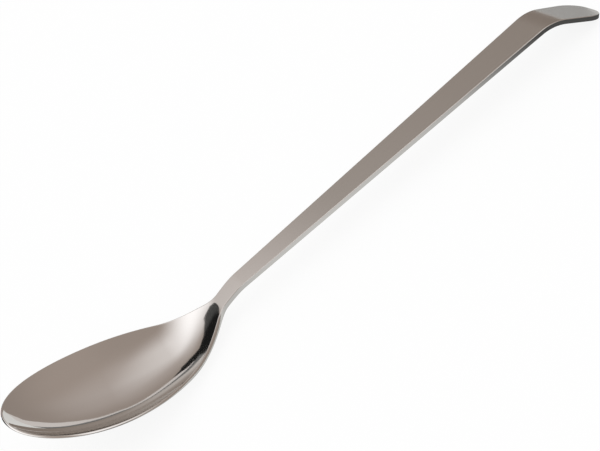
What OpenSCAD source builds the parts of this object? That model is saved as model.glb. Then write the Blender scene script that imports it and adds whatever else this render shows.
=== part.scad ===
// One-piece serving spoon, pressed from one piece of stainless steel plate.
// The shape is worked out level with the bowl's rim, with the tip at x = 0 and the handle
// towards +X, and is then turned and set down as the spoon lies on a table, on the underside
// of its bowl and the end of its hook. The origin is under the middle of its box.

/* [Bowl] */
// Length of the bowl's egg-shaped outline, from the tip to where it closes inside the neck
bowl_l = 107; // [90:1:110]
// Distance from the tip to the widest place
widest_at = 47; // [35:1:60]
// Width at the widest place
bowl_w = 66; // [45:1:80]
// Roundness of the shoulders towards the neck, lower is fuller
shoulder = 0.93; // [0.6:0.01:1.2]
// Depth of the hollow below the rim
bowl_depth = 8.8; // [5:0.2:12]
// Squareness of the hollow's section, 2 is a parabola
hollow_power = 2.35; // [2:0.05:3]
// The same where the hollow ends at the neck, where its section is rounder
neck_power = 1.8; // [1.6:0.05:3]
// Squareness of the hollow's line towards the tip, 2 is a parabola
tip_power = 3.5; // [2:0.1:4]
// How far the rim dips between the tip and the neck
rim_dip = 3.6; // [0:0.2:6]
// Distance from the tip to the lowest place of the rim
dip_at = 43.5; // [30:0.5:55]
// Thickness of the steel at the rim
rim_t = 1.2; // [0.8:0.1:2]

/* [Neck] */
// Distance from the tip to where the rim starts to climb
neck_start = 77; // [70:1:90]
// Distance from the tip to where the straight handle begins
neck_end = 116; // [105:0.5:125]
// Height of the handle's beginning over the tip
neck_rise = 20.6; // [12:0.1:28]
// Width of the neck where the bowl's outline closes
neck_w = 11; // [9:0.1:16]
// Size of the fillet between the shoulders and the neck
neck_blend = 3.6; // [1:0.1:6]

/* [Handle] */
// Length of the straight handle, from the neck to the bend
handle_l = 178.7; // [120:0.1:240]
// Slope of the handle over the bowl's rim, in degrees
handle_angle = 23.1; // [12:0.1:32]
// Width of the handle at the bend
handle_w = 21; // [14:0.1:26]
// Thickness of the steel along the handle
plate_t = 2.4; // [1.6:0.1:3]

/* [Hook] */
// How far the end is bent down from the handle, in degrees
bend_angle = 33; // [26:0.5:50]
// Radius of the bend on its outer side
bend_r = 24; // [12:0.5:32]
// Length of the straight end beyond the bend
hook_l = 22.8; // [16:0.1:32]
// Width of the straight end
hook_w = 25; // [14:0.1:28]
// Radius of the two corners at the end
corner_r = 9.8; // [1.5:0.1:12]

/* [Edges] */
// Radius to which all edges are polished
edge_r = 0.35; // [0.15:0.05:0.39]

/* [Hidden] */

// Numbers of steps: round the tip, along the side, up the neck to the end of the hollow, on to
// the handle, along the handle, the bend, the hook's side, its corner and half its end; then
// from the spine to the rim, and over an edge
tip_steps = 15;
side_steps = 13;
climb_steps = 11;
neck_steps = 5;
handle_steps = 5;
bend_steps = 7;
hook_steps = 2;
corner_steps = 4;
end_steps = 2;
row_steps = 8;
round_steps = 2;

// Part of the way to the widest place over which the rows of the tip spread along the spine
fan_share = 0.6;
// Part of the hook's width that the last row of the end reaches inwards
end_share = 0.3;
// Part of the bowl's length at which the hollow ends, the power of its line towards there, and
// the part of its depth over which that end is rounded
hollow_share = 0.967;
back_power = 1.6;
soft_share = 0.02;
// Part of the rim's thickness over which a slope is measured
probe_share = 0.01;

half_w = bowl_w / 2;
hollow_end = bowl_l * hollow_share;
probe = rim_t * probe_share;
steel_grey = [0.75, 0.74, 0.72];

// Places along the handle and the hook, in the side view
hook_angle = handle_angle - bend_angle;
bend_x = neck_end + handle_l * cos(handle_angle);
bend_z = neck_rise + handle_l * sin(handle_angle);
bend_cx = bend_x + bend_r * sin(handle_angle);
bend_cz = bend_z - bend_r * cos(handle_angle);
hook_x = bend_cx - bend_r * sin(hook_angle);
hook_z = bend_cz + bend_r * cos(hook_angle);
end_x = hook_x + hook_l * cos(hook_angle);

function mix(a, b, t) = a + (b - a) * t;

// Eased step from 0 to 1 as x goes from a to b
function ease(x, a, b) =
    let (t = min(1, max(0, (x - a) / (b - a))))
    t * t * (3 - 2 * t);

// The larger of two values, rounded off where they are less than r apart
function larger(a, b, r) =
    let (near = max(0, r - abs(a - b)))
    max(a, b) + near * near / (4 * r);

// Height of the rim in the side view: a shallow dip, which eases into the handle's line
function rim_line(x) = -rim_dip * (1 - pow((x - dip_at) / dip_at, 2));
function handle_line(x) = neck_rise + (x - neck_end) * tan(handle_angle);
function climb(x) = mix(rim_line(x), handle_line(x), ease(x, neck_start, neck_end));

// Height of the edge over the whole length: bowl, neck and handle, then the bend, then the hook
function edge_z(x) =
    x <= bend_x ? climb(x) :
    x <= hook_x ? bend_cz + sqrt(pow(bend_r, 2) - pow(x - bend_cx, 2)) :
    hook_z + (x - hook_x) * tan(hook_angle);

// Half width of the egg: an ellipse to the widest place, and fuller shoulders behind it
function egg(x) =
    x <= widest_at
        ? half_w * sqrt(max(0, 1 - pow(1 - x / widest_at, 2)))
        : half_w * pow(max(0, 1 - pow((x - widest_at) / (bowl_l - widest_at), 2)), shoulder);

// Half width of the strip that is neck, handle and hook
function strip(x) =
    x <= bend_x
        ? mix(neck_w, handle_w, (x - bowl_l) / (bend_x - bowl_l)) / 2
        : mix(handle_w, hook_w, min(1, (x - bend_x) / (end_x - corner_r - bend_x))) / 2;

// Half width of the whole outline: the wider of the two, with a fillet where they cross
function half_width(x) = x <= widest_at ? egg(x) : larger(egg(x), strip(x), neck_blend);

// The hollow's line along the spoon, as a part of its depth: it drops from the tip to the
// widest place, and climbs from there to a soft crease where the neck begins
function along(x) =
    x <= widest_at
        ? 1 - pow(1 - x / widest_at, tip_power)
        : larger(1 - pow((x - widest_at) / (hollow_end - widest_at), back_power), 0, soft_share);

// Depth of the hollow below the edge, from its line along the spoon and its section across it
function section_power(x) = mix(hollow_power, neck_power, ease(x, widest_at, hollow_end));

function hollow(x, y) =
    bowl_depth * along(x) * (1 - pow(abs(y) / max(probe, half_width(x)), section_power(x)));

// Upper surface of the steel, its upward normal, and the thickness under it
function top_z(x, y) = edge_z(x) - hollow(x, y);

function normal(x, y) =
    let (rise_x = (top_z(x + probe, y) - top_z(x - probe, y)) / (2 * probe),
         rise_y = (top_z(x, y + probe) - top_z(x, y - probe)) / (2 * probe),
         n = [-rise_x, -rise_y, 1])
    n / norm(n);

function thickness(x) = mix(rim_t, plate_t, ease(x, widest_at, neck_end));

// The point at a given depth inside the steel below a place of the upper surface
function steel(p, depth) = [p.x, p.y, top_z(p.x, p.y)] - normal(p.x, p.y) * depth;

// A station of the outline: where its row starts on the spine, its rim point, and the
// direction square out of the outline there
function tip_station(turn) =
    let (out = [-cos(turn) / widest_at, sin(turn) / half_w])
    [widest_at * (1 - fan_share * cos(turn)),
     [widest_at * (1 - cos(turn)), half_w * sin(turn)], out / norm(out)];

function side_station(x, spine_x) =
    let (spread = (half_width(x + probe) - half_width(x - probe)) / (2 * probe),
         out = [-spread, 1])
    [spine_x, [x, half_width(x)], out / norm(out)];

function corner_station(turn, spine_x) =
    let (out = [sin(turn), cos(turn)])
    [spine_x, [end_x - corner_r, hook_w / 2 - corner_r] + corner_r * out, out];

function end_station(y, spine_x) = [spine_x, [end_x, y], [1, 0]];

// Rows of the hook start on the spine between the bend and a little short of the end
last_steps = hook_steps + corner_steps + end_steps;
function last_spine(i) = mix(hook_x, end_x - hook_w * end_share, i / last_steps);

// Half of the outline, from the tip along the left side to the middle of the end
stations = [
    for (i = [0 : tip_steps - 1]) tip_station(90 * i / tip_steps),
    for (i = [0 : side_steps - 1])
        let (x = mix(widest_at, neck_start, i / side_steps)) side_station(x, x),
    for (i = [0 : climb_steps - 1])
        let (x = mix(neck_start, hollow_end, i / climb_steps)) side_station(x, x),
    for (i = [0 : neck_steps - 1])
        let (x = mix(hollow_end, neck_end, i / neck_steps)) side_station(x, x),
    for (i = [0 : handle_steps - 1])
        let (x = mix(neck_end, bend_x, i / handle_steps)) side_station(x, x),
    for (i = [0 : bend_steps - 1])
        let (x = bend_cx - bend_r * sin(mix(handle_angle, hook_angle, i / bend_steps)))
            side_station(x, x),
    for (i = [0 : hook_steps - 1])
        side_station(mix(hook_x, end_x - corner_r, i / hook_steps), last_spine(i)),
    for (i = [0 : corner_steps - 1])
        corner_station(90 * i / corner_steps, last_spine(hook_steps + i)),
    for (i = [0 : end_steps])
        end_station((hook_w / 2 - corner_r) * (1 - i / end_steps),
                    last_spine(hook_steps + corner_steps + i)),
];
last = len(stations) - 1;

// One row, from the spine over the upper side, round the edge and back along the underside
function row(s) =
    let (start = [s[0], 0], rim = s[1], out = s[2], t = thickness(rim.x), inset = rim - edge_r * out)
    [
        for (j = [0 : row_steps]) steel(mix(start, inset, j / row_steps), 0),
        for (i = [1 : round_steps])
            let (turn = 90 * i / round_steps)
            steel(inset + edge_r * sin(turn) * out, edge_r * (1 - cos(turn))),
        for (i = [round_steps : -1 : 1])
            let (turn = 90 * i / round_steps)
            steel(inset + edge_r * sin(turn) * out, t - edge_r * (1 - cos(turn))),
        for (j = [row_steps : -1 : 0])
            let (p = mix(start, inset, j / row_steps)) steel(p, thickness(p.x)),
    ];
rows = [for (s = stations) row(s)];
columns = len(rows[0]) - 1;

// The spoon lies on its keel and its toe: of the lines from an underside point of the spine to
// a point of the end, the one that has all others above it becomes level
keel = [for (k = [0 : last]) if (rows[k][columns].x < neck_end) rows[k][columns]];
toe = [for (p = rows[last]) p];
rest_slope = max([for (p = keel) min([for (q = toe) (q.z - p.z) / (q.x - p.x)])]);
rest_angle = atan(rest_slope);

function level(p) = [
    p.x * cos(rest_angle) + p.z * sin(rest_angle),
    p.y,
    p.z * cos(rest_angle) - p.x * sin(rest_angle),
];
lying = [for (r = rows) [for (p = r) level(p)]];
low_z = min([for (r = lying) for (p = r) p.z]);
low_x = min([for (r = lying) for (p = r) p.x]);
high_x = max([for (r = lying) for (p = r) p.x]);
to_origin = [-(low_x + high_x) / 2, 0, -low_z];

// Points: both spine lines, the left rows, and the right rows that aren't on the spine plane
function mirrored(p) = [p.x, -p.y, p.z];
inner = columns - 1;
points = [
    for (r = lying) r[0] + to_origin,
    for (r = lying) r[columns] + to_origin,
    for (r = lying) for (j = [1 : inner]) r[j] + to_origin,
    for (k = [1 : last - 1]) for (j = [1 : inner]) mirrored(lying[k][j] + to_origin),
];

// Number of the point in row k and column j, on the left or on the right
function point_at(left, k, j) =
    j == 0 ? k :
    j == columns ? last + 1 + k :
    left || k == 0 || k == last
        ? 2 * (last + 1) + k * inner + j - 1
        : (last + 1) * (2 + inner) + (k - 1) * inner + j - 1;

// Two triangles for each cell between neighbouring rows and columns. The cut across a cell
// turns with the quarter it lies in, so that none runs along the spine at the tip or the end.
function cell(a, b, c, d, across) = across ? [[a, d, c], [a, c, b]] : [[a, d, b], [b, d, c]];
function turned(f) = [f[0], f[2], f[1]];
faces = [
    for (left = [true, false]) for (k = [0 : last - 1]) for (j = [0 : columns - 1])
        let (a = point_at(left, k, j), b = point_at(left, k + 1, j),
             c = point_at(left, k + 1, j + 1), d = point_at(left, k, j + 1),
             across = (j < columns / 2) == (k < last / 2))
        for (f = cell(a, b, c, d, across)) left ? f : turned(f),
];

module spoon() {
    color(steel_grey) polyhedron(points = points, faces = faces, convexity = 4);
}

spoon();
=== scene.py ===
"""Serving spoon: one piece of pressed and polished stainless steel, and the stage it lies on.

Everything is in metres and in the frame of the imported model: the length is on X with the tip of
the bowl at -X, the width on Y, and the spoon lies on z = 0. The spoon's surface is worked out
from the same sizes and formulas as the part's source, on a finer grid.
"""

import math

import bmesh
import bpy
import numpy as np
from bpy.props import FloatProperty, FloatVectorProperty, PointerProperty
from mathutils import Matrix, Vector


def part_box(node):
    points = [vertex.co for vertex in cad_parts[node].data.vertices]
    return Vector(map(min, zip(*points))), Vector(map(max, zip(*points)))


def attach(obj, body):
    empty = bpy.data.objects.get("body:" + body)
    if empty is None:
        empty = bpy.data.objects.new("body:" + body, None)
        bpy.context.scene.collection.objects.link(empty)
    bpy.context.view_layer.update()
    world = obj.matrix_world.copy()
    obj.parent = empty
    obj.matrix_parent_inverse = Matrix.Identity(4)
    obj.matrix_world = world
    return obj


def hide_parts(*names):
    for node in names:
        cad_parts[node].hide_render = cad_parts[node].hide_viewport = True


bl_info = {
    "name": "Serving spoon",
    "version": (1, 0, 0),
    "blender": (4, 5, 0),
    "location": "3D View > Sidebar > Spoon",
    "description": "Models a one-piece stainless steel serving spoon and lights it",
    "category": "Object",
}

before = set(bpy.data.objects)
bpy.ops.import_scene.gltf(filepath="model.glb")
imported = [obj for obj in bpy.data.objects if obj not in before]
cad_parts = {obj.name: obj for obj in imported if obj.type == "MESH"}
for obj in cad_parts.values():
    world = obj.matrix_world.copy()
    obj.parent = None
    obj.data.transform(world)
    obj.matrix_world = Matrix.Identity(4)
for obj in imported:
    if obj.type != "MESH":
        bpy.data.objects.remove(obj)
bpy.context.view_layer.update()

MM = 0.001
STEP = 1e-5  # m, the step of a measured slope


# ---------------------------------------------------------------------------------- colours


def linear(hex_colour):
    """The linear colour of an sRGB hex value such as #8F8A84, with an alpha of 1."""
    srgb = np.array([int(hex_colour[i : i + 2], 16) for i in (1, 3, 5)]) / 255
    low, high = srgb / 12.92, ((srgb + 0.055) / 1.055) ** 2.4
    return (*np.where(srgb <= 0.04045, low, high), 1.0)


def length(name, description, value):
    """A size in metres, from its value in millimetres."""
    return FloatProperty(
        name=name, description=description, default=value * MM, min=0, unit="LENGTH"
    )


def angle(name, description, value):
    """An angle, from its value in degrees."""
    return FloatProperty(
        name=name, description=description, default=math.radians(value), unit="ROTATION"
    )


def factor(name, description, value, top=1.0):
    """A plain number from 0 to top."""
    return FloatProperty(name=name, description=description, default=value, min=0, max=top)


def colour(name, description, hex_colour):
    """A colour, from its sRGB hex value."""
    return FloatVectorProperty(
        name=name, description=description, default=linear(hex_colour), size=4, subtype="COLOR"
    )


# ------------------------------------------------------------------------------------ sizes


class SpoonSizes(bpy.types.PropertyGroup):
    """The spoon's sizes, level with the rim of the bowl before it is laid down."""

    bowl_l: length("Bowl length", "From the tip to where the egg shape of the bowl closes", 107)
    widest_at: length("Widest at", "From the tip to the widest place of the bowl", 47)
    bowl_w: length("Bowl width", "Width of the bowl at its widest", 66)
    shoulder: factor("Shoulder", "Power of the egg shape behind the widest place", 0.93, 4)
    bowl_depth: length("Bowl depth", "Depth of the bowl below its own rim", 8.8)
    hollow_power: factor("Hollow power", "How flat the floor of the bowl is across", 2.35, 8)
    neck_power: factor("Neck power", "How flat it is where the hollow ends at the neck", 1.8, 8)
    tip_power: factor("Tip power", "How steeply the hollow climbs to the tip", 3.5, 8)
    back_power: factor("Back power", "How the hollow runs out towards the neck", 1.6, 8)
    hollow_share: factor("Hollow share", "Where the hollow ends, as a share of bowl length", 0.967)
    soft_share: factor("Soft share", "Softness of the crease where the hollow ends", 0.02)
    rim_dip: length("Rim dip", "How far the rim sags between the tip and the neck", 3.6)
    dip_at: length("Dip at", "From the tip to the lowest place of the rim", 43.5)
    rim_t: length("Rim thickness", "Thickness of the plate at the rim of the bowl", 1.2)
    neck_start: length("Neck start", "From the tip to where the neck begins to rise", 77)
    neck_end: length("Neck end", "From the tip to where the straight handle begins", 116)
    neck_rise: length("Neck rise", "Height of the straight handle's start", 20.6)
    neck_w: length("Neck width", "Width of the handle at the neck", 11)
    neck_blend: length("Neck blend", "Rounding between the bowl's outline and the handle's", 3.6)
    handle_l: length("Handle length", "Length of the straight handle", 178.7)
    handle_angle: angle("Handle angle", "Rise of the handle from the level of the rim", 23.1)
    handle_w: length("Handle width", "Width of the handle at its bend", 21)
    plate_t: length("Plate thickness", "Thickness of the handle", 2.4)
    bend_angle: angle("Bend angle", "How far the end is bent down", 33)
    bend_r: length("Bend radius", "Radius of the bend's upper face", 24)
    hook_l: length("End length", "Length of the bent-down end", 22.8)
    hook_w: length("End width", "Width of the bent-down end", 25)
    corner_r: length("Corner radius", "Radius of the end's corners", 9.8)
    edge_r: length("Edge radius", "Radius that polishing leaves on the edges", 0.35)


class SteelFinish(bpy.types.PropertyGroup):
    """The finish of the stainless steel, and the painted shade in its satin colour."""

    mirror: colour("Mirror", "Reflected colour where the steel is mirror polished", "#CBC9C5")
    # The satin colour is darker than the mirror's, partly for the satin's duller polish and partly
    # as painted shade that darkens the handle's reflections.
    satin: colour("Satin", "Reflected colour where fine lines dull the polish", "#ACA9A3")
    mirror_roughness: factor("Mirror roughness", "Roughness of the mirror polish", 0.06)
    satin_roughness: factor("Satin roughness", "Roughness along the satin handle", 0.2)
    line_w: length("Line width", "Width of a polishing line, drawn ten times too coarse", 0.25)
    line_l: length("Line length", "Length of a polishing line", 18)
    line_depth: length("Line depth", "Depth of a polishing line on the handle", 0.0006)
    haze_w: length("Haze width", "Size of the cloudy places that a polishing wheel leaves", 35)


class StageLook(bpy.types.PropertyGroup):
    """The floor, the background and the light."""

    floor: colour("Floor", "Colour of the floor", "#FAFAFA")
    shade: factor("Shade", "How much of the floor's own shade the camera sees", 0.12)
    steel_shade: factor("Shade in the steel", "How much of it shows in the steel", 0.8)
    tent: colour("Tent", "Colour of the cloth tent that the steel reflects", "#C0B2AA")
    lamp: colour("Lamp", "Colour of the soft lamps behind the tent", "#F3F8FF")
    paper: factor("Paper", "Brightness of the lit paper at the back", 0.86, 2)
    skirting: factor("Skirting", "Brightness of the grey board below the lit paper", 0.2, 2)
    flag: factor("Flag", "Brightness of the black flag in its lower part", 0.015, 2)
    flag_top: factor("Flag top", "Brightness of the black flag in its upper part", 0.085, 2)


# ------------------------------------------------------------------------- the spoon's shape

# How many stations lie along each part of the outline, and how many columns cross half a face
# and half an edge.
TIP_STATIONS, BOWL_STATIONS, CLIMB_STATIONS, NECK_STATIONS = 72, 60, 60, 32
HANDLE_STATIONS, BEND_STATIONS, HOOK_STATIONS = 48, 24, 10
CORNER_STATIONS, END_STATIONS = 14, 8
FACE_COLUMNS, EDGE_COLUMNS = 36, 5

FACE_SPREAD = 0.8  # the power that sets a face's columns closer together towards the outline
FAN_SHARE = 0.6  # how far towards the tip its stations start on the middle line, as a share
END_SHARE = 0.3  # how far short of the end the last one starts, as a share of the end's width
# Over this stretch the steel's colour also darkens to the satin colour, which is partly painted
# shade.
SATIN_FADE = 70 * MM  # how far along the neck and the handle the mirror polish turns to satin
MERGE = 1e-6  # m, points closer than this become one


def ease(x, start, end):
    """3 t^2 - 2 t^3, where t runs from 0 at start to 1 at end."""
    t = np.clip((x - start) / (end - start), 0, 1)
    return t * t * (3 - 2 * t)


def larger(a, b, r):
    """The larger of a and b, made smooth: where they differ by less than r, it adds
    (r - difference)^2 / 4 r."""
    return np.maximum(a, b) + np.maximum(0, r - np.abs(a - b)) ** 2 / (4 * r)


def spaced(start, end, count):
    """Evenly spaced values from start to just before end."""
    return np.linspace(start, end, count, endpoint=False)


class SpoonShape:
    """The spoon's surfaces as functions of x, from the tip, and y, from the middle.

    They are level with the rim. The upper face is edge_z less the hollow, and the lower face is
    the plate's thickness below it, measured square to it.
    """

    def __init__(self, sizes):
        for name in sizes.__annotations__:
            setattr(self, name, getattr(sizes, name))
        self.half_w = self.bowl_w / 2
        self.hollow_end = self.bowl_l * self.hollow_share
        rise, fall = self.handle_angle, self.handle_angle - self.bend_angle
        self.rise, self.fall = rise, fall
        self.bend_x = self.neck_end + self.handle_l * math.cos(rise)
        self.bend_z = self.neck_rise + self.handle_l * math.sin(rise)
        self.bend_cx = self.bend_x + self.bend_r * math.sin(rise)
        self.bend_cz = self.bend_z - self.bend_r * math.cos(rise)
        self.hook_x = self.bend_cx - self.bend_r * math.sin(fall)
        self.hook_z = self.bend_cz + self.bend_r * math.cos(fall)
        self.end_x = self.hook_x + self.hook_l * math.cos(fall)
        self.corner_x = self.end_x - self.corner_r

    def edge_z(self, x):
        """Height of the edge: a parabola along the rim, eased into the handle's straight line,
        then the arc of the bend and the line of the bent-down end."""
        rim = -self.rim_dip * (1 - ((x - self.dip_at) / self.dip_at) ** 2)
        line = self.neck_rise + (x - self.neck_end) * math.tan(self.rise)
        blend = ease(x, self.neck_start, self.neck_end)
        arc = self.bend_cz + np.sqrt(np.maximum(self.bend_r**2 - (x - self.bend_cx) ** 2, 0))
        hook = self.hook_z + (x - self.hook_x) * math.tan(self.fall)
        return np.where(
            x <= self.bend_x,
            rim * (1 - blend) + line * blend,
            np.where(x <= self.hook_x, arc, hook),
        )

    def half_width(self, x):
        """Half the width: an egg for the bowl, a strip for the handle, and the smooth larger of
        the two, which adds up to a quarter of neck_blend where they meet. The strip widens evenly
        to the bend, and from there to the corners of the end."""
        front = np.sqrt(np.maximum(0, 1 - (1 - x / self.widest_at) ** 2))
        back = (x - self.widest_at) / (self.bowl_l - self.widest_at)
        back = np.maximum(0, 1 - back**2) ** self.shoulder
        egg = self.half_w * np.where(x <= self.widest_at, front, back)
        handle = (x - self.bowl_l) / (self.bend_x - self.bowl_l)
        handle = self.neck_w + (self.handle_w - self.neck_w) * handle
        hook = np.minimum(1, (x - self.bend_x) / (self.corner_x - self.bend_x))
        hook = self.handle_w + (self.hook_w - self.handle_w) * hook
        strip = np.where(x <= self.bend_x, handle, hook) / 2
        return np.where(x <= self.widest_at, egg, larger(egg, strip, self.neck_blend))

    def along(self, x):
        """The hollow's depth along the bowl, as a share: 1 - u^p before the widest place, where u
        is 1 at the tip, and 1 - v^q behind it, where v is 1 at the hollow's end. There it turns
        softly into 0."""
        u = np.abs(1 - x / self.widest_at)
        v = np.maximum(0, (x - self.widest_at) / (self.hollow_end - self.widest_at))
        back = larger(1 - v**self.back_power, 0, self.soft_share)
        return np.where(x <= self.widest_at, 1 - u**self.tip_power, back)

    def hollow(self, x, y):
        """Depth below the edge: depth times the share along the bowl times 1 - w^p, where w runs
        from 0 on the middle line to 1 at the outline. Behind the widest place the power p eases
        from hollow_power to neck_power."""
        side = np.abs(y) / np.maximum(self.half_width(x), STEP)
        turned = ease(x, self.widest_at, self.hollow_end)
        power = self.hollow_power + (self.neck_power - self.hollow_power) * turned
        return self.bowl_depth * self.along(x) * (1 - side**power)

    def top_z(self, x, y):
        """Height of the upper face."""
        return self.edge_z(x) - self.hollow(x, y)

    def normal(self, x, y):
        """The upper face's unit normal, from the slopes measured over a small step."""
        slope_x = (self.top_z(x + STEP, y) - self.top_z(x - STEP, y)) / (2 * STEP)
        slope_y = (self.top_z(x, y + STEP) - self.top_z(x, y - STEP)) / (2 * STEP)
        n = np.stack([-slope_x, -slope_y, np.ones_like(slope_x)], -1)
        return n / np.linalg.norm(n, axis=-1, keepdims=True)

    def thickness(self, x):
        """The plate's thickness: rim_t in the bowl, eased to plate_t at the end of the neck."""
        grown = ease(x, self.widest_at, self.neck_end)
        return self.rim_t + (self.plate_t - self.rim_t) * grown

    def steel(self, plan, depth):
        """Points on plan, an array of x and y, at a depth below the upper face, square to it."""
        x, y = plan[..., 0], plan[..., 1]
        top = np.stack([x, y, self.top_z(x, y)], -1)
        return top - self.normal(x, y) * np.asarray(depth)[..., None]

    def outline(self):
        """Stations from the tip to the end's middle: where each starts on the middle line, where
        it meets the outline, and the outline's outward direction there, all in plan."""
        t = np.radians(spaced(0, 90, TIP_STATIONS))
        tip_rim = np.stack([self.widest_at * (1 - np.cos(t)), self.half_w * np.sin(t)], -1)
        tip_out = np.stack([-np.cos(t) / self.widest_at, np.sin(t) / self.half_w], -1)
        tip_axis = self.widest_at * (1 - FAN_SHARE * np.cos(t))

        bend = spaced(self.rise, self.fall, BEND_STATIONS)
        side_x = np.concatenate([
            spaced(self.widest_at, self.neck_start, BOWL_STATIONS),
            spaced(self.neck_start, self.hollow_end, CLIMB_STATIONS),
            spaced(self.hollow_end, self.neck_end, NECK_STATIONS),
            spaced(self.neck_end, self.bend_x, HANDLE_STATIONS),
            self.bend_cx - self.bend_r * np.sin(bend),
            spaced(self.hook_x, self.corner_x, HOOK_STATIONS),
        ])
        side_rim = np.stack([side_x, self.half_width(side_x)], -1)
        slope = (self.half_width(side_x + STEP) - self.half_width(side_x - STEP)) / (2 * STEP)
        side_out = np.stack([-slope, np.ones_like(slope)], -1)

        t = np.radians(spaced(0, 90, CORNER_STATIONS))
        corner_out = np.stack([np.sin(t), np.cos(t)], -1)
        inner = np.array([self.corner_x, self.hook_w / 2 - self.corner_r])
        corner_rim = inner + self.corner_r * corner_out
        end_y = inner[1] * np.linspace(1, 0, END_STATIONS + 1)
        end_rim = np.stack([np.full_like(end_y, self.end_x), end_y], -1)
        end_out = np.tile([1.0, 0.0], (len(end_y), 1))

        fan = HOOK_STATIONS + CORNER_STATIONS + END_STATIONS
        fan_end = self.end_x - END_SHARE * self.hook_w
        fan_axis = np.linspace(self.hook_x, fan_end, fan + 1)
        side_axis = np.concatenate([side_x[:-HOOK_STATIONS], fan_axis[:HOOK_STATIONS]])

        axis_x = np.concatenate([tip_axis, side_axis, fan_axis[HOOK_STATIONS:]])
        rim = np.concatenate([tip_rim, side_rim, corner_rim, end_rim])
        out = np.concatenate([tip_out, side_out, corner_out, end_out])
        out /= np.linalg.norm(out, axis=-1, keepdims=True)
        return np.stack([axis_x, np.zeros_like(axis_x)], -1), rim, out

    def skin(self):
        """One half of the spoon as a grid: a row for each station, and columns that run from the
        middle line over the upper face, round the polished edge and back along the lower face.
        With it goes how satin each point is, and so how much painted shade darkens the steel's
        colour
        there: 0 in the bowl and on the edges, easing to 1 on the faces of the handle."""
        axis, rim, out = self.outline()
        inset = rim - self.edge_r * out
        across = np.linspace(0, 1, FACE_COLUMNS + 1) ** FACE_SPREAD
        face = axis[:, None] + (inset - axis)[:, None] * across[None, :, None]
        turn = np.radians(90 * np.arange(1, EDGE_COLUMNS + 1) / EDGE_COLUMNS)
        edge = inset[:, None] + self.edge_r * np.sin(turn)[None, :, None] * out[:, None]
        sunk = np.tile(self.edge_r * (1 - np.cos(turn)), (len(rim), 1))
        plate = self.thickness(rim[:, :1])
        points = np.concatenate([
            self.steel(face, np.zeros(face.shape[:2])),
            self.steel(edge, sunk),
            self.steel(edge[:, ::-1], plate - sunk[:, ::-1]),
            self.steel(face[:, ::-1], self.thickness(face[:, ::-1, 0])),
        ], 1)
        lined_and_shaded = ease(face[..., 0], self.hollow_end, self.hollow_end + SATIN_FADE)
        polished = np.zeros(edge.shape[:2])
        return points, np.concatenate([lined_and_shaded, polished, polished, lined_and_shaded[:, ::-1]], 1)


def laid_down(skin, neck_end):
    """The grid turned about Y until the spoon rests on its bowl and the end of its handle, and
    moved so that its box has its middle and its foot where the CAD node's box has them.

    The turn is the slope of the line that touches the spine's lower face and the handle's lower
    end: over the spine's points, the largest of the least slopes from each to the end's points.
    """
    toe, keel = skin[-1], skin[:, -1]
    keel = keel[keel[:, 0] < neck_end]
    slopes = (toe[None, :, 2] - keel[:, None, 2]) / (toe[None, :, 0] - keel[:, None, 0])
    turn = math.atan(slopes.min(1).max())
    c, s = math.cos(turn), math.sin(turn)
    placed = skin @ np.array([[c, 0, s], [0, 1, 0], [-s, 0, c]]).T
    lo, hi = (np.array(v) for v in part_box("spoon"))
    shift = np.array([(lo[0] + hi[0]) / 2, 0, lo[2]])
    box_lo, box_hi = placed.min((0, 1)), placed.max((0, 1))
    return placed + shift - np.array([(box_lo[0] + box_hi[0]) / 2, 0, box_lo[2]])


def grid_quads(rows, columns):
    """The four corners of each cell of a grid whose points are counted row by row."""
    corner = np.arange(rows - 1)[:, None] * columns + np.arange(columns - 1)[None]
    quad = np.stack([corner, corner + 1, corner + columns + 1, corner + columns], -1)
    return quad.reshape(-1, 4)


def grid_mesh(name, skin, satin):
    """A closed mesh from one half's grid and its mirror image in the plane y = 0. The doubled
    points of the seams and the ends are merged."""
    rows, columns, _ = skin.shape
    verts = np.concatenate([skin.reshape(-1, 3), (skin * [1, -1, 1]).reshape(-1, 3)])
    quad = grid_quads(rows, columns)
    mesh = bpy.data.meshes.new(name)
    mesh.from_pydata(verts, [], np.concatenate([quad[:, ::-1], quad + rows * columns]))
    # The satin attribute sets the satin finish and also where painted shade darkens the steel's
    # colour.
    layer = mesh.attributes.new("satin", "FLOAT", "POINT")
    layer.data.foreach_set("value", np.tile(satin.ravel(), 2))
    shell = bmesh.new()
    shell.from_mesh(mesh)
    bmesh.ops.remove_doubles(shell, verts=shell.verts, dist=MERGE)
    for face in shell.faces:
        face.smooth = True
    shell.to_mesh(mesh)
    shell.free()
    return mesh


# ---------------------------------------------------------------------------------- materials

NOISE_LOW, NOISE_HIGH = 0.3, 0.7  # the values between which a noise texture mostly lies
HAZE_DULLS = (-0.02, 0.03)  # what the haze adds to the roughness where it is faint and strong
LINES_DULL = (-0.05, 0.05)  # what the fine lines add to it
LINES_CUT = (0.02, 0.3)  # how strongly the lines show as grooves on the mirror and on the satin


def add_node(tree, kind, settings=None, links=None):
    """Adds a node with its settings and links: an int or a name is a socket, a tuple of a node
    and its output goes into that socket, and any other name is a property of the node."""
    node = tree.nodes.new(kind)
    for key, value in (settings or {}).items():
        if isinstance(key, int) or key in node.inputs:
            node.inputs[key].default_value = value
        else:
            setattr(node, key, value)
    for key, (source, output) in (links or {}).items():
        tree.links.new(source.outputs[output], node.inputs[key])
    return node


def empty_material(name):
    """A material with an empty node tree."""
    material = bpy.data.materials.new(name)
    material.use_nodes = True
    material.node_tree.nodes.clear()
    return material, material.node_tree


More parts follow.
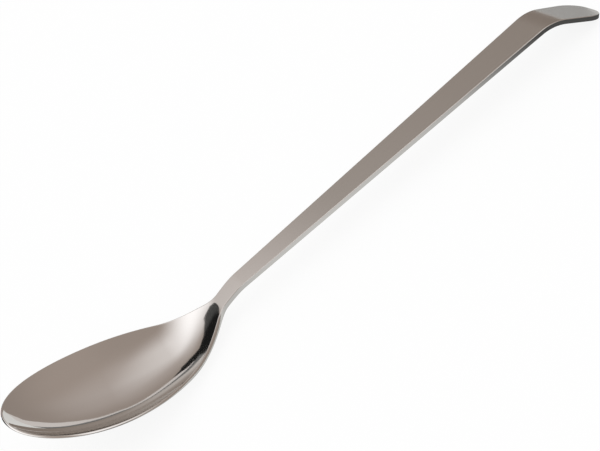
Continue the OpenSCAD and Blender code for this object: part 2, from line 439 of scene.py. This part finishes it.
def polished_stainless_steel(finish):
    """Stainless steel, blanked from rolled plate, pressed, and polished with a wheel that ran
    lengthwise. In the bowl and on the edges of the plate the eye sees a dark, neutral mirror
    with sharp reflections and a faint haze. Along the handle fine lines dull it to a satin, which
    smears what it reflects. Its colour there is darker, partly for the satin's duller polish and
    partly as painted shade that darkens the handle's reflections."""
    material, tree = empty_material("polished_stainless_steel")
    place = add_node(tree, "ShaderNodeTexCoord")
    satin = add_node(tree, "ShaderNodeAttribute", {"attribute_name": "satin"})
    lines_scale = (1 / finish.line_l, 1 / finish.line_w, 1 / finish.line_w)
    stretched = add_node(
        tree,
        "ShaderNodeVectorMath",
        {"operation": "MULTIPLY", 1: lines_scale},
        {0: (place, "Object")},
    )
    lines = add_node(
        tree,
        "ShaderNodeTexNoise",
        {"Scale": 1.0, "Detail": 3.0, "Roughness": 0.6},
        {"Vector": (stretched, 0)},
    )
    haze = add_node(
        tree,
        "ShaderNodeTexNoise",
        {"Scale": 1 / finish.haze_w, "Detail": 2.0, "Roughness": 0.5},
        {"Vector": (place, "Object")},
    )
    gloss = []
    for noise, (least, most), roughness in (
        (haze, HAZE_DULLS, finish.mirror_roughness),
        (lines, LINES_DULL, finish.satin_roughness),
    ):
        added = add_node(
            tree,
            "ShaderNodeMapRange",
            {"From Min": NOISE_LOW, "From Max": NOISE_HIGH, "To Min": least, "To Max": most},
            {"Value": (noise, "Fac")},
        )
        gloss.append(
            add_node(tree, "ShaderNodeMath", {"operation": "ADD", 1: roughness}, {0: (added, 0)})
        )
    roughness = add_node(
        tree, "ShaderNodeMix", links={0: (satin, "Fac"), 2: (gloss[0], 0), 3: (gloss[1], 0)}
    )
    # Painted shade: the colour darkens from the mirror's to the satin's where the satin attribute
    # rises.
    tint = add_node(
        tree,
        "ShaderNodeMix",
        {"data_type": "RGBA", 6: finish.mirror, 7: finish.satin},
        {0: (satin, "Fac")},
    )
    cut = add_node(
        tree,
        "ShaderNodeMapRange",
        {"To Min": LINES_CUT[0], "To Max": LINES_CUT[1]},
        {"Value": (satin, "Fac")},
    )
    bump = add_node(
        tree,
        "ShaderNodeBump",
        {"Distance": finish.line_depth},
        {"Strength": (cut, 0), "Height": (lines, "Fac")},
    )
    shader = add_node(
        tree,
        "ShaderNodeBsdfPrincipled",
        {"Metallic": 1.0},
        {"Base Color": (tint, 2), "Roughness": (roughness, 0), "Normal": (bump, 0)},
    )
    add_node(tree, "ShaderNodeOutputMaterial", links={"Surface": (shader, 0)})
    return material


def matt_white_board(look):
    """A plain matt board. The camera, mirrors and glass see it as white, with a share of its own
    shade, so that the spoon's shadow stays."""
    material, tree = empty_material("matt_white_board")
    path = add_node(tree, "ShaderNodeLightPath")
    through = add_node(
        tree,
        "ShaderNodeMath",
        {"operation": "MAXIMUM"},
        {0: (path, "Is Camera Ray"), 1: (path, "Is Transmission Ray")},
    )
    seen = add_node(
        tree, "ShaderNodeMath", {"operation": "MULTIPLY", 1: 1 - look.shade}, {0: (through, 0)}
    )
    share = add_node(
        tree,
        "ShaderNodeMath",
        {"operation": "MULTIPLY_ADD", 1: 1 - look.steel_shade},
        {0: (path, "Is Glossy Ray"), 2: (seen, 0)},
    )
    matt = add_node(tree, "ShaderNodeBsdfDiffuse", {"Color": look.floor})
    white = add_node(tree, "ShaderNodeEmission", {"Color": (1, 1, 1, 1), "Strength": 1.0})
    both = add_node(
        tree, "ShaderNodeMixShader", links={0: (share, 0), 1: (matt, 0), 2: (white, 0)}
    )
    add_node(tree, "ShaderNodeOutputMaterial", links={"Surface": (both, 0)})
    return material


def tent_cloth(name):
    """Thin cloth that soft lamps light from behind. How bright it is in each place comes from the
    mesh's own attribute."""
    material, tree = empty_material(name)
    glow = add_node(tree, "ShaderNodeAttribute", {"attribute_name": "glow"})
    light = add_node(tree, "ShaderNodeEmission", {"Strength": 1.0}, {"Color": (glow, "Color")})
    add_node(tree, "ShaderNodeOutputMaterial", links={"Surface": (light, 0)})
    return material


# ------------------------------------------------------------------------------------- stage

# All directions are in degrees: the azimuth runs from +Y towards +X, and the elevation from the
# floor upwards. The tent, the cards and the mats show only in the steel; the mats are painted
# shade on the floor. The camera sees the floor and the white world behind it.

FAR = 10.0  # m, the radius of the tent
FLOOR_SHARE = 1.3  # how far the floor reaches, as a share of that
TENT_STEP, TENT_CLIMB = 3, 3.25  # degrees between the tent's points across and up
CARD_COLUMNS, CARD_ROWS = 121, 25  # the points of a card across and up

# The cloth's own brightness over its elevation: how much it loses at the floor and at the top,
# and where it is at its full brightness.
TENT_LOW, TENT_FULL, TENT_TOP, TENT_TOP_FROM, TENT_TOP_TO = 0.8, 50, 0.92, 55, 80

SOFT_LAMPS = (
    # name, strength, the azimuths and the elevations between which it fades in and out
    ("left_core", 0.68, (-130, -95, -47, 1), (16, 29, 42, 61)),
    ("left_wide", 0.48, (-140, -110, -10, 26), (28, 41, 54, 75)),
    ("left_spill", 0.19, (-150, -120, 4, 58), (12, 38, 53, 74)),
    ("rear_window", 1.1, (125, 150, 186, 202), (15, 35, 60, 80)),
)

CARDS = (
    # name, colour, the properties with its brightness at the bottom and at the top, its distance
    # as a share of FAR, and rows of an azimuth and the elevations of its two edges there
    (
        "lit_paper",
        "#FFF8F6",
        ("paper", "paper"),
        0.90,
        (
            (-9, 8.5, 9.5),
            (-3, 8.5, 11),
            (-0.5, 8.2, 12.6),
            (2, 7.8, 11.5),
            (4, 7.8, 10.3),
            (8, 8.3, 10.5),
            (11, 8, 11.5),
            (14, 6, 13.2),
            (18, 3.5, 13.8),
            (24, -1, 11.5),
            (28, -1, 9.5),
            (31, -1, 5),
            (34, -1, 2),
            (39, -1, 0),
        ),
    ),
    (
        "skirting",
        "#FFFFFF",
        ("skirting", "skirting"),
        0.92,
        ((-12, -1, 8), (8, -1, 9), (14, -1, 7), (24, -1, 0)),
    ),
    (
        "flag",
        "#FFFFFF",
        ("flag", "flag_top"),
        0.94,
        (
            (-75, -1, 30),
            (-31, -1, 30),
            (-25, -1, 23.5),
            (-20, -1, 17.2),
            (-15, -1, 14),
            (-9, -1, 18),
            (-2, -1, 18.5),
            (-0.5, -1, 15),
        ),
    ),
)
TOP_FROM, TOP_TO = 15, 21  # the elevations between which a card's brightness turns to its top's

# Painted shade: grey sheets on the floor, seen only in the steel, that darken the floor's
# reflection where the spoon's shade falls near it and near its end.
SHADE_MATS = (
    # name, from and to on Y in mm, and rows of a place on X in mm and the brightness there
    ("far_mat", (12, 260), ((155, 0.57), (330, 0.57))),
    (
        "near_mat",
        (-400, -5),
        (
            (-400, 0.9),
            (-170, 0.8),
            (-152, 0.25),
            (-128, 0.3),
            (-110, 0.72),
            (-55, 0.76),
            (-30, 0.86),
            (0, 0.88),
            (60, 0.8),
            (88, 0.68),
            (108, 0.42),
            (116, 0.31),
            (126, 0.22),
            (140, 0.11),
            (330, 0.1),
        ),
    ),
)
MAT_HEIGHT = 0.2  # mm above the floor


def direction(azimuth, elevation):
    """The unit vector towards an azimuth and an elevation."""
    a, e = np.radians(azimuth), np.radians(elevation)
    return np.stack([np.sin(a) * np.cos(e), np.cos(a) * np.cos(e), np.sin(e)], -1)


def window(value, opens, full, full_to, shut):
    """A soft window: it eases from 0 to 1 between the first two and back between the last two."""
    return ease(value, opens, full) * (1 - ease(value, full_to, shut))


def sphere_patch(name, azimuth, elevation, radius):
    """A mesh on a sphere round the origin from two grids of directions. It faces inwards."""
    verts = (direction(azimuth, elevation) * radius).reshape(-1, 3)
    mesh = bpy.data.meshes.new(name)
    mesh.from_pydata(verts, [], grid_quads(*azimuth.shape)[:, ::-1])
    return mesh


def show_in_steel(name, mesh, glow):
    """Hangs a sheet that glows by its own attribute and shows only in mirrors."""
    colours = np.concatenate([glow, np.ones((len(glow), 1))], 1)
    mesh.attributes.new("glow", "FLOAT_COLOR", "POINT").data.foreach_set("color", colours.ravel())
    mesh.materials.append(tent_cloth(name + "_cloth"))
    sheet = bpy.data.objects.new(name, mesh)
    bpy.context.scene.collection.objects.link(sheet)
    sheet.visible_camera = False
    sheet.visible_diffuse = False
    sheet.visible_shadow = False


def hang_tent(look):
    """The tent: its cloth's colour times its brightness over the elevation, and the soft lamps
    behind it, each a soft window in azimuth times one in elevation."""
    azimuth, elevation = np.meshgrid(
        np.arange(-180, 181, TENT_STEP), np.arange(-1, 91, TENT_CLIMB)
    )
    low = TENT_LOW + (1 - TENT_LOW) * ease(elevation, 0, TENT_FULL)
    top = 1 - (1 - TENT_TOP) * ease(elevation, TENT_TOP_FROM, TENT_TOP_TO)
    glow = (low * top)[..., None] * np.array(look.tent[:3])
    for _, strength, across, up in SOFT_LAMPS:
        middle = (across[0] + across[3]) / 2
        turned = (azimuth - middle + 180) % 360 - 180 + middle
        lit = strength * window(turned, *across) * window(elevation, *up)
        glow = glow + lit[..., None] * np.array(look.lamp[:3])
    mesh = sphere_patch("tent", azimuth, elevation, FAR)
    show_in_steel("tent", mesh, glow.reshape(-1, 3))


def hang_cards(look):
    """The lit paper at the back, the board below it and the black flag. Each is a sheet between a
    lower and an upper edge that run straight between the given azimuths. Its light is its colour
    times its brightness, which eases from the bottom's to the top's."""
    for name, tint, levels, share, edges in CARDS:
        at, low, high = np.array(edges).T
        azimuth, climb = np.meshgrid(
            np.linspace(at[0], at[-1], CARD_COLUMNS), np.linspace(0, 1, CARD_ROWS)
        )
        low, high = np.interp(azimuth, at, low), np.interp(azimuth, at, high)
        elevation = low + (high - low) * climb
        bottom, top = (getattr(look, level) for level in levels)
        glow = bottom + (top - bottom) * ease(elevation, TOP_FROM, TOP_TO)
        mesh = sphere_patch(name, azimuth, elevation, FAR * share)
        show_in_steel(name, mesh, glow.reshape(-1, 1) * linear(tint)[:3])


def lay_shade_mats():
    """Painted shade: grey sheets on the floor in front of the spoon and behind its end, each with
    its brightness given along X, which darken the floor's reflection in the steel."""
    for name, (near, far), levels in SHADE_MATS:
        x, level = np.array(levels).T
        flat = np.full(len(x), MAT_HEIGHT)
        rows = [np.stack([x, np.full(len(x), y), flat], -1) for y in (near, far)]
        first = np.arange(len(x) - 1)
        quad = np.stack([first, first + 1, first + 1 + len(x), first + len(x)], -1)
        mesh = bpy.data.meshes.new(name)
        mesh.from_pydata(np.concatenate(rows) * MM, [], quad)
        show_in_steel(name, mesh, np.repeat(np.tile(level, 2)[:, None], 3, 1))


def lay_floor(look):
    """The floor, a square on z = 0 that reaches past the tent."""
    side = FLOOR_SHARE * FAR
    mesh = bpy.data.meshes.new("floor")
    corners = [(-side, -side, 0), (side, -side, 0), (side, side, 0), (-side, side, 0)]
    mesh.from_pydata(corners, [], [(0, 1, 2, 3)])
    mesh.materials.append(matt_white_board(look))
    floor = bpy.data.objects.new("floor", mesh)
    bpy.context.scene.collection.objects.link(floor)


def set_world(scene):
    """An even white room at strength 1, which lights the floor and is the background."""
    world = bpy.data.worlds.new("room")
    world.use_nodes = True
    tree = world.node_tree
    tree.nodes.clear()
    light = add_node(tree, "ShaderNodeBackground", {"Color": (1, 1, 1, 1), "Strength": 1.0})
    add_node(tree, "ShaderNodeOutputWorld", links={"Surface": (light, 0)})
    scene.world = world
    scene.view_settings.view_transform = "Standard"


CAMERA_PLACE = (-0.06302, -0.40045, 0.27826)  # m
CAMERA_AZIMUTH, CAMERA_ELEVATION, CAMERA_ROLL = -7.403, 33.221, -35.936  # degrees
CAMERA_LENS, CAMERA_SENSOR = 63.816, 36  # mm
CAMERA_CLIP = (0.01, 30)  # m


def set_camera(scene):
    """The photograph's camera: it looks down on the near long side of the spoon, and it is
    rolled, which lifts the handle to the upper right corner of the picture."""
    data = bpy.data.cameras.new("camera")
    data.sensor_fit, data.sensor_width, data.lens = "HORIZONTAL", CAMERA_SENSOR, CAMERA_LENS
    data.clip_start, data.clip_end = CAMERA_CLIP
    camera = bpy.data.objects.new("camera", data)
    scene.collection.objects.link(camera)
    a, e, r = (math.radians(v) for v in (CAMERA_AZIMUTH, CAMERA_ELEVATION, CAMERA_ROLL))
    back = Vector((math.sin(a) * math.cos(e), -math.cos(a) * math.cos(e), math.sin(e)))
    right = Vector((math.cos(a), math.sin(a), 0))
    up = back.cross(right)
    right, up = right * math.cos(r) + up * math.sin(r), up * math.cos(r) - right * math.sin(r)
    turned = Matrix((right, up, back)).transposed().to_4x4()
    camera.matrix_world = Matrix.Translation(CAMERA_PLACE) @ turned
    scene.camera = camera


# --------------------------------------------------------------------------------- operators


class SPOON_OT_spoon(bpy.types.Operator):
    """Models the spoon, from the tip of its bowl to its bent-down end"""

    bl_idname = "spoon.spoon"
    bl_label = "Spoon"

    def execute(self, context):
        shape = SpoonShape(context.scene.spoon_sizes)
        skin, satin = shape.skin()
        mesh = grid_mesh("serving_spoon", laid_down(skin, shape.neck_end), satin)
        mesh.materials.append(polished_stainless_steel(context.scene.spoon_finish))
        spoon = bpy.data.objects.new("serving_spoon", mesh)
        context.scene.collection.objects.link(spoon)
        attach(spoon, "root")
        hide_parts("spoon")
        return {"FINISHED"}


class SPOON_OT_stage(bpy.types.Operator):
    """Lays the floor, hangs the tent and its cards, and sets the light and the camera"""

    bl_idname = "spoon.stage"
    bl_label = "Stage"

    def execute(self, context):
        look = context.scene.spoon_stage
        lay_floor(look)
        hang_tent(look)
        hang_cards(look)
        lay_shade_mats()
        set_world(context.scene)
        set_camera(context.scene)
        return {"FINISHED"}


class SPOON_PT_panel(bpy.types.Panel):
    """The spoon's sizes, its finish and its stage"""

    bl_idname = "SPOON_PT_panel"
    bl_label = "Spoon"
    bl_space_type = "VIEW_3D"
    bl_region_type = "UI"
    bl_category = "Spoon"

    def draw(self, context):
        scene = context.scene
        for group in (scene.spoon_sizes, scene.spoon_finish, scene.spoon_stage):
            box = self.layout.box()
            for name in group.__annotations__:
                box.prop(group, name)
        self.layout.operator("spoon.spoon")
        self.layout.operator("spoon.stage")


CLASSES = (SpoonSizes, SteelFinish, StageLook, SPOON_OT_spoon, SPOON_OT_stage, SPOON_PT_panel)


def register():
    for cls in CLASSES:
        bpy.utils.register_class(cls)
    bpy.types.Scene.spoon_sizes = PointerProperty(type=SpoonSizes)
    bpy.types.Scene.spoon_finish = PointerProperty(type=SteelFinish)
    bpy.types.Scene.spoon_stage = PointerProperty(type=StageLook)


def unregister():
    del bpy.types.Scene.spoon_stage
    del bpy.types.Scene.spoon_finish
    del bpy.types.Scene.spoon_sizes
    for cls in reversed(CLASSES):
        bpy.utils.unregister_class(cls)


def main():
    register()
    bpy.ops.spoon.spoon()
    bpy.ops.spoon.stage()


if __name__ == "__main__":
    main()
